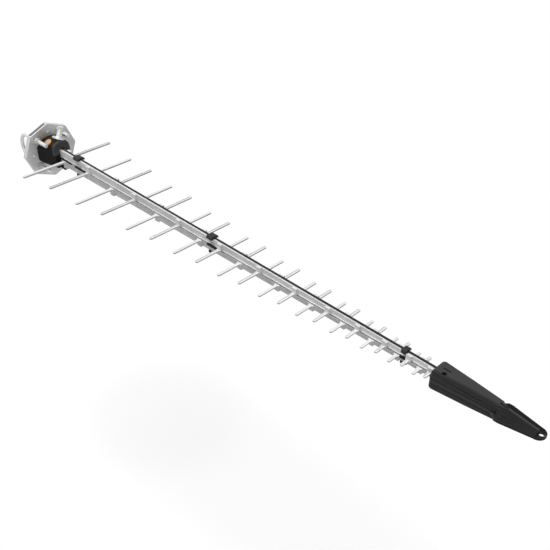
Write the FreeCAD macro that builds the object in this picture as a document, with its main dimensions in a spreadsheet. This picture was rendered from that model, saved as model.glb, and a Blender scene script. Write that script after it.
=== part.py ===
import FreeCAD, Part
import math
import os
import Sketcher
from FreeCAD import Placement, Rotation, Vector

# Directional log periodic antenna: two stamped booms carry 22 dipoles, a feed housing closes the tip
# and an octagonal clamp plate with two U-bolts holds the rear end to a mast.
# Origin: mast axis, on the antenna's middle plane. X runs along the booms to the tip, Z is up.
# The boom axis lies boom_drop below the origin.

doc = FreeCAD.newDocument("LogPeriodicAntenna")
sheet = doc.addObject("Spreadsheet::Sheet", "Sizes")

SIZES = [
    # dipole array
    ("dipole_pairs", 11),
    ("first_dipole_x", 99.5),
    ("longest_half", 102.5),
    ("length_ratio", 0.924),
    ("apex_cotangent", 10.81),
    # stamped booms
    ("boom_drop", 1.6),
    ("boom_back", 35.0),
    ("boom_front", 17.5),
    ("web_height", 17.2),
    ("crown_width", 9.2),
    ("section_run", 1990.0),
    ("sheet_wall", 1.2),
    ("boom_gap", 2.4),
    ("lip_width", 1.4),
    ("crown_round", 1.0),
    # stamped dipole strips
    ("strip_width", 6.5),
    ("strip_wall", 0.9),
    ("strip_flange", 3.2),
    ("root_flare", 2.6),
    ("root_reach", 11.0),
    ("gusset_width", 11.4),
    ("gusset_depth", 4.0),
    ("gusset_groove", 0.5),
    # feed cable, clips and spacers
    ("cable_radius", 1.5),
    ("cable_entry", 8.0),
    ("seat_clearance", 0.15),
    ("rear_bar_margin", 5.4),
    ("middle_bar_margin", 2.6),
    ("front_bar_margin", 1.0),
    ("bar_tail", 6.0),
    ("rail_height", 4.8),
    ("rail_width", 1.8),
    ("post_radius", 1.25),
    ("clip_radius", 8.7),
    ("front_clip_margin", 0.7),
    ("clip_cap", 1.8),
    ("clip_skirt", 1.5),
    ("clip_bevel", 1.2),
    ("button_radius", 5.8),
    ("button_height", 4.4),
    ("button_bevel", 1.0),
    ("button_bore_depth", 1.6),
    # clamp plate
    ("plate_face_x", 36.7),
    ("plate_corner", 58.8),
    ("plate_wall", 2.5),
    ("rim_depth", 11.0),
    ("rim_round", 1.5),
    ("plate_round", 4.0),
    ("rivet_circle", 40.0),
    ("rivet_head_radius", 3.2),
    ("rivet_crown_radius", 1.8),
    ("rivet_rise", 1.6),
    ("rivet_shank_radius", 2.0),
    # mast fixing
    ("mast_radius", 24.15),
    ("rod_radius", 4.0),
    ("bolt_spread", 57.6),
    ("bolt_side", 29.0),
    ("near_thread", 36.7),
    ("far_thread", 25.6),
    ("rod_chamfer", 0.8),
    ("bolt_clearance", 0.4),
    ("thread_clearance", 0.1),
    ("washer_radius", 8.0),
    ("washer_wall", 1.6),
    ("nut_corner", 7.5),
    ("nut_height", 6.5),
    ("saddle_wall", 2.5),
    ("saddle_half_width", 16.0),
    ("saddle_half_height", 22.0),
    ("saddle_reach", 15.0),
    ("saddle_angle", 30.0),
    ("tooth_pitch", 4.0),
    ("tooth_depth", 1.0),
    # boom bracket: section at the plate, then section at the front
    ("bracket_length", 44.8),
    ("rear_ridge", 32.0),
    ("rear_brow_y", 12.0),
    ("rear_brow", 30.3),
    ("rear_shoulder_y", 21.0),
    ("rear_shoulder", 25.5),
    ("rear_half_width", 31.5),
    ("rear_side_top", 15.0),
    ("rear_side_bottom", 12.0),
    ("rear_floor_y", 22.0),
    ("front_ridge", 36.0),
    ("front_brow_y", 8.5),
    ("front_brow", 33.0),
    ("front_shoulder_y", 16.5),
    ("front_shoulder", 28.5),
    ("front_half_width", 19.0),
    ("front_side_top", 19.0),
    ("front_side_bottom", 12.0),
    ("front_floor_y", 15.0),
    ("bracket_floor", 22.0),
    ("bracket_bevel", 1.6),
    ("front_bevel", 1.5),
    ("nose_length", 11.0),
    ("nose_half_width", 7.0),
    ("nose_bottom", 25.0),
    ("nose_top", 14.0),
    ("tongue_end_x", 122.5),
    ("tongue_rail_width", 1.8),
    ("tongue_rail_top", 2.6),
    ("entry_margin", 2.0),
    ("entry_depth", 3.0),
    # bubble level on the near roof
    ("level_x", 61.0),
    ("level_y", 16.6),
    ("level_z", 29.8),
    ("level_tilt", 31.0),
    ("level_pad_radius", 9.2),
    ("level_pad_depth", 7.0),
    ("level_radius", 8.3),
    ("level_bore_radius", 6.0),
    ("level_height", 2.4),
    ("level_lobes", 14),
    ("lobe_radius", 1.2),
    ("vial_rise", 0.6),
    # index bolt on the far roof
    ("index_x", 67.5),
    ("index_y", 3.6),
    ("index_z", 35.3),
    ("index_tilt", 23.0),
    ("index_boss_radius", 12.0),
    ("index_boss_depth", 10.0),
    ("index_washer_radius", 12.5),
    ("index_washer_wall", 1.2),
    ("sleeve_radius", 5.6),
    ("sleeve_height", 18.5),
    ("sleeve_groove", 0.5),
    ("stud_radius", 3.0),
    ("stud_depth", 8.0),
    ("index_nut_corner", 6.2),
    ("index_nut_height", 4.5),
    # angle pointer on the plate
    ("pointer_width", 1.3),
    ("pointer_wall", 0.6),
    ("pointer_tip_y", 13.2),
    ("pointer_tip_z", 38.5),
    ("pointer_bend_y", 10.4),
    ("pointer_bend_z", 33.6),
    ("pointer_tail_y", 20.6),
    ("pointer_tail_z", 29.6),
    # coaxial socket under the bracket
    ("socket_x", 50.0),
    ("socket_y", 11.0),
    ("socket_flange_radius", 6.5),
    ("socket_flange", 1.6),
    ("socket_radius", 4.7),
    ("socket_bore_radius", 3.5),
    ("socket_drop", 11.0),
    ("socket_pin_radius", 0.8),
    ("socket_shank", 5.0),
    # feed housing: stations along X and sections
    ("housing_lead", 5.7),
    ("housing_length", 164.0),
    ("end_round_run", 1.5),
    ("end_round_drop", 1.3),
    ("end_round", 5.0),
    ("end_face_drop", 4.0),
    ("housing_half_width", 18.0),
    ("housing_height", 16.3),
    ("waist_run", 53.5),
    ("waist_half_width", 13.3),
    ("waist_height", 16.1),
    ("neck_run", 98.0),
    ("neck_half_width", 10.1),
    ("neck_height", 13.9),
    ("housing_chamfer", 4.6),
    ("ridge_lead", 9.5),
    ("ridge_height", 12.8),
    ("ridge_end_run", 153.5),
    ("ridge_end_height", 6.7),
    ("ridge_half_width", 1.0),
    ("ridge_foot", 3.0),
    ("nose_edge_share", 0.4),
    ("nose_end_grooves", 0.4),
    ("fin_root_lead", 8.0),
    ("fin_shoulder_lead", 3.5),
    ("fin_half_width", 19.5),
    ("fin_tip_radius", 11.2),
    ("fin_wall", 1.5),
    ("hang_hole_radius", 3.3),
    ("hang_hole_inset", 6.3),
    ("groove_depth", 0.7),
    ("groove_half_width", 0.5),
    ("scallop_radius", 8.0),
    ("scallop_depth", 1.1),
    ("scallop_floor", 3.0),
    ("scallop_pitch", 13.2),
    ("scallop_first", 32.5),
    ("scallop_count", 5),
    ("slot_length", 12.5),
    ("slot_width", 2.0),
    ("slot_depth", 1.5),
    ("rear_slot_run", 10.0),
    ("rear_slot_y", 0.6),
    ("neck_slot_run", 97.5),
    ("neck_slot_y", -0.8),
    ("screw_run", 17.5),
    ("screw_y", 8.3),
    ("screw_recess_radius", 3.5),
    ("screw_recess_depth", 3.0),
    ("screw_head_radius", 3.1),
    ("screw_head_height", 1.9),
    ("screw_shank_radius", 1.5),
    ("screw_length", 20.0),
    ("cross_width", 0.8),
    ("cross_depth", 1.0),
]

for row, (alias, value) in enumerate(SIZES, start=1):
    sheet.set("A%d" % row, alias)
    sheet.set("B%d" % row, str(value))
    sheet.setAlias("B%d" % row, alias)
doc.recompute()


def size(alias):
    """Value of one named size of the sheet."""
    return float(sheet.get(alias))


def bind(item, rules):
    """Bind properties of a document object to cells of the sheet."""
    for name, rule in rules.items():
        item.setExpression(name, rule)


OVERCUT = 1.0  # how far a cutting shape starts outside the face that it opens
NEAR = 0.01  # how close an edge lies to the plane that it is picked by
MAST_BASE = Placement()
BOOM_BASE = Placement(Vector(0, 0, -size("boom_drop")), Rotation())
ALONG_X = Rotation(Vector(0, 0, 1), Vector(1, 0, 0))
pieces = []


def keep(item, base):
    """Place a finished sub-part and list it for export."""
    item.Placement = base
    pieces.append(item)
    return item


def feature(label, shape, base):
    """A sub-part whose shape was built with Part's own functions."""
    item = doc.addObject("Part::Feature", label)
    item.Label = label
    item.Shape = shape
    return keep(item, base)


def body(label):
    item = doc.addObject("PartDesign::Body", label)
    item.Label = label
    return item


def sketch(owner, name, role, height=None):
    """Sketch on one of the body's own origin planes, lifted by an expression."""
    item = owner.newObject("Sketcher::SketchObject", name)
    plane = [p for p in owner.Origin.OriginFeatures if p.Role == role][0]
    item.AttachmentSupport = [(plane, "")]
    item.MapMode = "FlatFace"
    if height is not None:
        item.setExpression("AttachmentOffset.Base.z", height)
    return item


def closed_lines(item, points):
    """Closed outline of straight lines in a sketch, corner on corner."""
    count = len(points)
    first = item.GeometryCount
    for index in range(count):
        start = Vector(points[index][0], points[index][1], 0)
        stop = Vector(points[(index + 1) % count][0], points[(index + 1) % count][1], 0)
        item.addGeometry(Part.LineSegment(start, stop))
    for index in range(count):
        following = first + (index + 1) % count
        item.addConstraint(Sketcher.Constraint("Coincident", first + index, 2, following, 1))


def circle(item, across, up, radius_rule):
    """Circle in a sketch whose radius and centre follow the sheet."""
    index = item.addGeometry(Part.Circle(Vector(1, 1, 0), Vector(0, 0, 1), 1.0))
    spot = item.addConstraint(Sketcher.Constraint("Radius", index, 1.0))
    item.setExpression("Constraints[%d]" % spot, radius_rule)
    for kind, rule in (("DistanceX", across), ("DistanceY", up)):
        spot = item.addConstraint(Sketcher.Constraint(kind, -1, 1, index, 3, 1.0))
        item.setExpression("Constraints[%d]" % spot, rule)


def pad(owner, name, profile, length, reverse=False, both=False):
    item = owner.newObject("PartDesign::Pad", name)
    item.Profile = profile
    item.setExpression("Length", length)
    item.Reversed = reverse
    item.Midplane = both
    return item


def pocket(owner, name, profile, length, reverse=False, both=False):
    item = owner.newObject("PartDesign::Pocket", name)
    item.Profile = profile
    item.setExpression("Length", length)
    item.Reversed = reverse
    item.Midplane = both
    return item


def revolve(owner, name, profile):
    """Full turn of a profile about the vertical axis of its sketch."""
    item = owner.newObject("PartDesign::Revolution", name)
    item.Profile = profile
    item.ReferenceAxis = (profile, ["V_Axis"])
    item.Angle = 360.0
    return item


def cylinder(name, radius, height, spot, rotation=Rotation()):
    """Part cylinder with radius, height and centre bound to the sheet."""
    item = doc.addObject("Part::Cylinder", name)
    item.Placement = Placement(Vector(), rotation)
    bind(item, {"Radius": radius, "Height": height})
    bind(item, dict(zip(("Placement.Base.x", "Placement.Base.y", "Placement.Base.z"), spot)))
    return item


def prism_between(points, low, high):
    """Solid over a closed polygon of (x, y) points, from z low to z high."""
    wire = Part.makePolygon([Vector(x, y, low) for x, y in points + points[:1]])
    return Part.Face(wire).extrude(Vector(0, 0, high - low))


# Boom: one stamping, used twice

def taper(x):
    """Scale of the boom's section at a distance x from the mast axis."""
    return 1.0 - (x - size("first_dipole_x")) / size("section_run")


def crown_height(x):
    return size("web_height") * taper(x)


def crown_half(x):
    return size("crown_width") / 2 * taper(x)


def dipole_x(number):
    """Station of a dipole on the boom, counted from the rear."""
    shrink = size("length_ratio") ** (number - 1)
    return size("first_dipole_x") + size("apex_cotangent") * size("longest_half") * (1 - shrink)


def dipole_half(number):
    return size("longest_half") * size("length_ratio") ** (number - 1)


DIPOLES = range(1, 2 * int(size("dipole_pairs")) + 1)
BOOM_START = size("first_dipole_x") - size("boom_back")
BOOM_END = dipole_x(DIPOLES[-1]) + size("boom_front")
BASE_Z = size("boom_gap") / 2
HOUSING_START = dipole_x(DIPOLES[-1]) + size("housing_lead")
CROWN_SLOPE = math.degrees(math.atan(size("web_height") / size("section_run")))


def channel_corners(x):
    """Corners of the sheet channel at x; the two pairs across a rounded crown edge come last."""
    wall = size("sheet_wall")
    half = crown_half(x)
    top = crown_height(x)
    lip = half + size("lip_width")
    turn = size("crown_round")
    right = [
        (half, top - turn),
        (half, BASE_Z + wall),
        (lip, BASE_Z + wall),
        (lip, BASE_Z),
        (half - wall, BASE_Z),
        (half - wall, top - wall),
    ]
    left = [(-y, z) for y, z in reversed(right)]
    crown = [(turn - half, top), (half - turn, top)]
    return [Vector(x, y, z) for y, z in right + left + crown]


def crown_arc(x, side):
    """Rounded edge between the web and the crown at x."""
    half = crown_half(x)
    top = crown_height(x)
    turn = size("crown_round")
    corner = turn * (1 - math.sqrt(0.5))
    ends = [
        Vector(x, side * half, top - turn),
        Vector(x, side * (half - corner), top - corner),
        Vector(x, side * (half - turn), top),
    ]
    return Part.Arc(*ends).toShape()


def channel_shape():
    """Solid channel: flat faces between the ends, and two ruled crown edges."""
    rear = channel_corners(BOOM_START)
    front = channel_corners(BOOM_END)
    count = len(rear)
    faces = []
    for index in range(count):
        following = (index + 1) % count
        if index in (count - 3, count - 1):
            continue
        ring = [rear[index], rear[following], front[following], front[index]]
        faces.append(Part.Face(Part.makePolygon(ring + ring[:1])))
    for side in (-1, 1):
        faces.append(Part.makeRuledSurface(crown_arc(BOOM_START, side), crown_arc(BOOM_END, side)))
    for corners, x in ((rear, BOOM_START), (front, BOOM_END)):
        lines = [
            Part.makeLine(corners[index], corners[(index + 1) % count])
            for index in range(count)
            if index not in (count - 3, count - 1)
        ]
        arcs = [crown_arc(x, -1), crown_arc(x, 1)]
        faces.append(Part.Face(Part.Wire(Part.__sortEdges__(lines + arcs))))
    shell = Part.Shell(faces)
    shell.sewShape()
    return Part.Solid(shell)


def strip_scale(number):
    """Strips and gussets shrink half as fast as the boom's section."""
    return (1 + taper(dipole_x(number))) / 2


def strip_outline(number, side):
    """Plan of a dipole strip: curved root, straight sides, round tip."""
    x = dipole_x(number)
    half = size("strip_width") * strip_scale(number) / 2
    flare = size("root_flare") * strip_scale(number)
    reach = size("root_reach") * strip_scale(number)
    first_y = crown_half(x) - size("strip_wall")
    bend_y = crown_half(x) + reach
    turn = (reach ** 2 + flare ** 2) / (2 * flare)
    tip_y = dipole_half(number) - half

    def width(y):
        return half + turn - math.sqrt(turn ** 2 - (bend_y - y) ** 2)

    def spot(across, y):
        return Vector(x + across, side * y, BASE_Z)

    middle_y = (first_y + bend_y) / 2
    edges = [
        Part.LineSegment(spot(-width(first_y), first_y), spot(width(first_y), first_y)),
        Part.Arc(spot(width(first_y), first_y), spot(width(middle_y), middle_y), spot(half, bend_y)),
        Part.LineSegment(spot(half, bend_y), spot(half, tip_y)),
        Part.Arc(spot(half, tip_y), spot(0, tip_y + half), spot(-half, tip_y)),
        Part.LineSegment(spot(-half, tip_y), spot(-half, bend_y)),
        Part.Arc(spot(-half, bend_y), spot(-width(middle_y), middle_y), spot(-width(first_y), first_y)),
    ]
    return Part.Face(Part.Wire([edge.toShape() for edge in edges]))


def tray_outline(number, side):
    """Plan of the tray in a strip: straight sides and an end of three flats."""
    x = dipole_x(number)
    wall = size("strip_wall")
    half = size("strip_width") * strip_scale(number) / 2 - wall
    root = crown_half(x) + size("gusset_depth")
    end = dipole_half(number) - wall
    right = [(half, root), (half, end - half), (half / 2, end)]
    left = [(-across, y) for across, y in reversed(right)]
    corners = [Vector(x + across, side * y, BASE_Z + wall) for across, y in right + left]
    return Part.Face(Part.makePolygon(corners + corners[:1]))


def strip_solids(number, side):
    """A dipole strip and the tray that is pressed into it."""
    flange = Vector(0, 0, size("strip_flange") * taper(dipole_x(number)))
    return strip_outline(number, side).extrude(flange), tray_outline(number, side).extrude(flange)


def gusset_block(number, side, inset):
    """Pressed box that stiffens a dipole root; its top lies in the crown's plane."""
    x = dipole_x(number)
    half = size("gusset_width") * strip_scale(number) / 2 - inset
    first = side * (crown_half(x) - size("sheet_wall") - inset)
    last = side * (crown_half(x) + size("gusset_depth") - inset)
    corners = [
        Vector(x - half, first, BASE_Z + inset),
        Vector(x + half, first, BASE_Z + inset),
        Vector(x + half, first, crown_height(x + half) - inset),
        Vector(x - half, first, crown_height(x - half) - inset),
    ]
    face = Part.Face(Part.makePolygon(corners + corners[:1]))
    return face.extrude(Vector(0, last - first, 0))


def gusset_grooves(number, side):
    """Two upright V grooves in a gusset's outer face."""
    x = dipole_x(number)
    depth = size("gusset_groove")
    face_y = crown_half(x) + size("gusset_depth")
    offset = size("gusset_width") * strip_scale(number) / 6
    low = BASE_Z + size("strip_flange") * taper(x)
    cuts = []
    for middle in (x - offset, x + offset):
        points = [
            (middle - 2 * depth, side * (face_y + depth)),
            (middle, side * (face_y - depth)),
            (middle + 2 * depth, side * (face_y + depth)),
        ]
        cuts.append(prism_between(points, low, size("web_height") + size("sheet_wall")))
    return cuts


def bay_middle(number):
    """Point midway between a dipole and the next one."""
    return (dipole_x(number) + dipole_x(number + 1)) / 2


def bay_reach(number, margin):
    """Way from the middle of a bay to the gusset of its first dipole, less a margin."""
    half_gusset = size("gusset_width") * strip_scale(number) / 2
    return bay_middle(number) - dipole_x(number) - half_gusset - size(margin)


# Clip stations: first dipole of the bay, reach of the spacer forward and back, radius of the clip
REAR_BAY = 1
MIDDLE_BAY = 7
FRONT_BAY = 19
FRONT_REACH = bay_reach(FRONT_BAY, "front_bar_margin")
STATIONS = (
    (REAR_BAY, bay_reach(REAR_BAY, "rear_bar_margin"), size("bar_tail"),
     size("clip_radius") * taper(bay_middle(REAR_BAY))),
    (MIDDLE_BAY, bay_reach(MIDDLE_BAY, "middle_bar_margin"), size("bar_tail"),
     size("clip_radius") * taper(bay_middle(MIDDLE_BAY))),
    (FRONT_BAY, FRONT_REACH, FRONT_REACH, bay_reach(FRONT_BAY, "front_clip_margin")),
)


def boom_shape():
    """Tapered channel with its row of dipole strips, alternating from side to side."""
    channel = channel_shape()
    added = []
    removed = []
    for number in DIPOLES:
        side = 1 if number % 2 else -1
        strip, tray = strip_solids(number, side)
        added += [strip, gusset_block(number, side, 0)]
        removed += [tray, gusset_block(number, side, size("sheet_wall"))]
        removed += gusset_grooves(number, side)
    for bay, _, _, _ in STATIONS:
        hole = size("post_radius") + size("seat_clearance")
        removed.append(Part.makeCylinder(hole, size("web_height") * 2, Vector(bay_middle(bay), 0, 0)))
    return channel.fuse(added).cut(removed).removeSplitter().Solids[0]


FLIP = Rotation(Vector(1, 0, 0), 180)
stamping = boom_shape()
feature("upper_boom", stamping, BOOM_BASE)
feature("lower_boom", stamping, Placement(BOOM_BASE.Base, FLIP))


# Feed cable, clips and spacers

CABLE_START = size("plate_face_x") + size("bracket_length") - size("cable_entry")
CABLE_END = HOUSING_START + size("cable_entry")


def on_crown(x, height):
    """Placement on the upper crown at x, tilted with its slope, height above it."""
    tilt = Rotation(Vector(0, 1, 0), CROWN_SLOPE)
    spot = Vector(x, 0, crown_height(x)) + tilt.multVec(Vector(0, 0, height))
    return BOOM_BASE.multiply(Placement(spot, tilt))


def feed_cable():
    """Cable lying on the crown from the bracket to the feed housing."""
    item = doc.addObject("Part::Cylinder", "feed_cable")
    item.Label = "feed_cable"
    length = math.hypot(CABLE_END - CABLE_START, crown_height(CABLE_START) - crown_height(CABLE_END))
    item.Height = length
    item.setExpression("Radius", "Sizes.cable_radius")
    start = on_crown(CABLE_START, size("cable_radius"))
    keep(item, Placement(start.Base, start.Rotation.multiply(ALONG_X)))


def bevelled_disc(radius, low, high, bevel):
    """Round disc whose upper edge is bevelled."""
    disc = Part.makeCylinder(radius, high - low - bevel, Vector(0, 0, low))
    edge = Part.makeCone(radius, radius - bevel, bevel, Vector(0, 0, high - bevel))
    return disc.fuse(edge)


def clip_head(x, radius):
    """Cap over the cable, with a skirt that grips the crown's edges."""
    top = 2 * size("cable_radius") + size("clip_cap")
    cap = bevelled_disc(radius, -size("clip_skirt"), top, size("clip_bevel"))
    room = crown_half(x - radius) + size("seat_clearance")
    crown = Part.makeBox(4 * radius, 2 * room, top, Vector(-2 * radius, -room, -top))
    bore = size("cable_radius") + size("seat_clearance")
    groove = Part.makeCylinder(
        bore, 4 * radius, Vector(-2 * radius, 0, size("cable_radius")), Vector(1, 0, 0)
    )
    throat = Part.makeBox(4 * radius, 2 * bore, size("cable_radius"), Vector(-2 * radius, -bore, 0))
    return cap.cut([crown, groove, throat]).removeSplitter()


def spacer(x, reach, tail):
    """Bar between the booms, gripping their lips, with a post through both crowns."""
    clearance = size("seat_clearance")
    low = x - tail
    gap = BASE_Z - clearance
    lip = crown_half(low) + size("lip_width") + clearance
    outside = lip + size("rail_width")
    rail = size("rail_height") / 2
    shapes = [Part.makeBox(reach + tail, 2 * outside, 2 * gap, Vector(low, -outside, -gap))]
    for first in (lip, -outside):
        shapes.append(
            Part.makeBox(reach + tail, outside - lip, 2 * rail, Vector(low, first, -rail))
        )
    top = crown_height(x) - clearance
    bottom = -crown_height(x) - size("button_bore_depth")
    shapes.append(Part.makeCylinder(size("post_radius"), top - bottom, Vector(x, 0, bottom)))
    return shapes[0].fuse(shapes[1:]).removeSplitter()


def clip_button(x):
    """Round button pressed on the post under the lower crown."""
    radius = size("button_radius") * (1 + taper(x)) / 2
    button = bevelled_disc(radius, 0, size("button_height"), size("button_bevel"))
    bore = size("post_radius") + size("seat_clearance")
    depth = size("button_bore_depth") + size("seat_clearance")
    return button.cut(Part.makeCylinder(bore, depth)).removeSplitter()


feed_cable()
for place, (bay, reach, tail, clip_radius) in enumerate(STATIONS, start=1):
    middle_x = bay_middle(bay)
    feature("cable_clip_%d" % place, clip_head(middle_x, clip_radius), on_crown(middle_x, 0))
    feature("boom_spacer_%d" % place, spacer(middle_x, reach, tail), BOOM_BASE)
    above = Placement(Vector(middle_x, 0, crown_height(middle_x)), Rotation(Vector(0, 1, 0), CROWN_SLOPE))
    below = Placement(BOOM_BASE.Base, FLIP).multiply(above)
    feature("clip_button_%d" % place, clip_button(middle_x), below)


# Octagonal clamp plate

def edge_fillet(owner, name, base, radius, chosen):
    """Fillet on those edges of a body whose bounding box is chosen."""
    doc.recompute()
    edges = [
        "Edge%d" % (index + 1)
        for index, edge in enumerate(owner.Shape.Edges)
        if chosen(edge.BoundBox)
    ]
    item = owner.newObject("PartDesign::Fillet", name)
    item.Base = (doc.getObject(base), edges)
    item.setExpression("Radius", radius)


def mount_plate():
    """Pressed octagon with its rim turned back, bored for the U-bolts and rivets."""
    plate = body("mount_plate")
    outline = sketch(plate, "PlateOutline", "YZ_Plane", "Sizes.plate_face_x")
    corners = [math.radians(45 * index) for index in range(8)]
    radius = size("plate_corner")
    closed_lines(outline, [(radius * math.sin(a), radius * math.cos(a)) for a in corners])
    pad(plate, "PlatePress", outline, "Sizes.rim_depth", reverse=True)
    edge_fillet(plate, "PlateRound", "PlatePress", "Sizes.plate_round", lambda box: box.XLength > NEAR)
    face = size("plate_face_x") - NEAR
    edge_fillet(plate, "RimRound", "PlateRound", "Sizes.rim_round", lambda box: box.XMin > face)
    inner = sketch(plate, "PlateInside", "YZ_Plane", "Sizes.plate_face_x - Sizes.plate_wall")
    inside = radius - size("plate_wall") / math.cos(math.radians(22.5))
    closed_lines(inner, [(inside * math.sin(a), inside * math.cos(a)) for a in corners])
    pocket(plate, "PlateHollow", inner, "Sizes.rim_depth")
    holes = sketch(plate, "PlateHoles", "YZ_Plane", "Sizes.plate_face_x")
    hole = "Sizes.rod_radius + Sizes.bolt_clearance"
    for across in ("Sizes.bolt_side", "-Sizes.bolt_side"):
        for up in ("Sizes.boom_drop + Sizes.bolt_spread / 2", "Sizes.boom_drop - Sizes.bolt_spread / 2"):
            circle(holes, across, up, hole)
    rivet_hole = "Sizes.rivet_shank_radius + Sizes.thread_clearance"
    circle(holes, "Sizes.rivet_circle", "0", rivet_hole)
    circle(holes, "-Sizes.rivet_circle", "0", rivet_hole)
    circle(holes, "0", "Sizes.rivet_circle", rivet_hole)
    pocket(plate, "PlateBores", holes, "Sizes.plate_wall * 2")
    keep(plate, BOOM_BASE)


def rivets():
    """Round-headed rivets in the plate, upset behind it."""
    shapes = []
    circle_radius = size("rivet_circle")
    back = size("plate_face_x") - size("plate_wall")
    rise = size("rivet_rise")
    for y, z in ((circle_radius, 0), (-circle_radius, 0), (0, circle_radius)):
        shapes.append(Part.makeCone(
            size("rivet_head_radius"), size("rivet_crown_radius"), rise,
            Vector(size("plate_face_x"), y, z), Vector(1, 0, 0),
        ).fuse([
            Part.makeCylinder(
                size("rivet_shank_radius"), size("plate_wall"), Vector(back, y, z), Vector(1, 0, 0)
            ),
            Part.makeCylinder(
                size("rivet_head_radius"), rise / 2, Vector(back - rise / 2, y, z), Vector(1, 0, 0)
            ),
        ]).removeSplitter())
    feature("bracket_rivets", Part.makeCompound(shapes), BOOM_BASE)


mount_plate()
rivets()


# Mast fixing

def u_bolt(label, side, thread):
    """Round rod bent round the mast, with its two legs through the plate."""
    bow = doc.addObject("Part::Torus", label + "_bow")
    bow.Angle1 = -180
    bow.Angle2 = 180
    bow.Angle3 = 180
    across = Rotation(Vector(1, 0, 0), -90).multiply(Rotation(Vector(0, 0, 1), 90))
    bow.Placement = Placement(Vector(), across)
    side_rule = "%d * Sizes.bolt_side" % side
    bind(bow, {
        "Radius1": "Sizes.bolt_spread / 2",
        "Radius2": "Sizes.rod_radius",
        "Placement.Base.y": side_rule,
    })
    parts = [bow]
    reach = "Sizes.plate_face_x + Sizes.%s" % thread
    for name, sign in (("top", 1), ("bottom", -1)):
        height = "%d * Sizes.bolt_spread / 2" % sign
        spot = ("0", side_rule, height)
        parts.append(cylinder(label + "_" + name, "Sizes.rod_radius", reach, spot, ALONG_X))
        tip = doc.addObject("Part::Cone", label + "_tip_" + name)
        tip.Placement = Placement(Vector(), ALONG_X)
        bind(tip, {
            "Radius1": "Sizes.rod_radius",
            "Radius2": "Sizes.rod_radius - Sizes.rod_chamfer",
            "Height": "Sizes.rod_chamfer",
            "Placement.Base.x": reach,
            "Placement.Base.y": side_rule,
            "Placement.Base.z": height,
        })
        parts.append(tip)
    rod = doc.addObject("Part::MultiFuse", label)
    rod.Shapes = parts
    rod.Label = label
    keep(rod, MAST_BASE)


def ring_group(label, outer, height, bore, start):
    """Four rings or nuts, one on each U-bolt leg; a nut's outside is a hexagon."""
    items = []
    for index, (side, up) in enumerate(((-1, 1), (-1, -1), (1, 1), (1, -1)), start=1):
        spot = (start, "%d * Sizes.bolt_side" % side, "%d * Sizes.bolt_spread / 2" % up)
        if outer == "Sizes.nut_corner":
            blank = doc.addObject("Part::Prism", "%s_blank_%d" % (label, index))
            blank.Polygon = 6
            blank.Placement = Placement(Vector(), ALONG_X)
            bind(blank, {"Circumradius": outer, "Height": height})
            bind(blank, dict(zip(("Placement.Base.x", "Placement.Base.y", "Placement.Base.z"), spot)))
        else:
            blank = cylinder("%s_blank_%d" % (label, index), outer, height, spot, ALONG_X)
        hole = cylinder("%s_hole_%d" % (label, index), bore, height, spot, ALONG_X)
        ring = doc.addObject("Part::Cut", "%s_%d" % (label, index))
        ring.Base = blank
        ring.Tool = hole
        items.append(ring)
    group = doc.addObject("Part::Compound", label)
    group.Links = items
    group.Label = label
    keep(group, MAST_BASE)


def mast_saddle():
    """V saddle behind the plate: a channel whose two arms end in toothed V edges."""
    back = size("plate_face_x") - size("plate_wall")
    wall = size("saddle_wall")
    half = size("saddle_half_width")
    reach = size("saddle_reach")
    saddle = body("mast_saddle")
    profile = sketch(saddle, "SaddleProfile", "XY_Plane")
    closed_lines(profile, [
        (back, -half),
        (back, half),
        (reach, half),
        (reach, half - wall),
        (back - wall, half - wall),
        (back - wall, wall - half),
        (reach, wall - half),
        (reach, -half),
    ])
    pad(saddle, "SaddleBlank", profile, "2 * Sizes.saddle_half_height", both=True)
    angle = math.radians(size("saddle_angle"))
    normal = (math.cos(angle), math.sin(angle))
    radius = size("mast_radius")
    apex = radius / math.cos(angle)
    run = (size("saddle_half_height") + 2 * size("tooth_pitch")) / math.cos(angle)
    teeth = int(run / size("tooth_pitch"))
    flank = []
    for tooth in range(teeth + 1):
        along = tooth * size("tooth_pitch")
        flank.append((apex - along * math.sin(angle), along * math.cos(angle)))
        deep = along + size("tooth_pitch") / 2
        flank.append((
            apex - deep * math.sin(angle) + size("tooth_depth") * normal[0],
            deep * math.cos(angle) + size("tooth_depth") * normal[1],
        ))
    mirrored = [(x, -z) for x, z in reversed(flank[1:])]
    far = -size("mast_radius")
    outline = [(far, flank[-1][1])] + flank[::-1] + mirrored[::-1] + [(far, -flank[-1][1])]
    vee = sketch(saddle, "SaddleVee", "XZ_Plane")
    closed_lines(vee, outline)
    pocket(saddle, "SaddleTeeth", vee, "4 * Sizes.saddle_half_width", both=True)
    keep(saddle, MAST_BASE)


u_bolt("u_bolt_near", -1, "near_thread")
u_bolt("u_bolt_far", 1, "far_thread")
ring_group(
    "u_bolt_washers", "Sizes.washer_radius", "Sizes.washer_wall",
    "Sizes.rod_radius + Sizes.bolt_clearance", "Sizes.plate_face_x",
)
ring_group(
    "u_bolt_nuts", "Sizes.nut_corner", "Sizes.nut_height",
    "Sizes.rod_radius + Sizes.thread_clearance", "Sizes.plate_face_x + Sizes.washer_wall",
)
mast_saddle()


# Boom bracket

BRACKET_FRONT = size("plate_face_x") + size("bracket_length")


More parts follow.
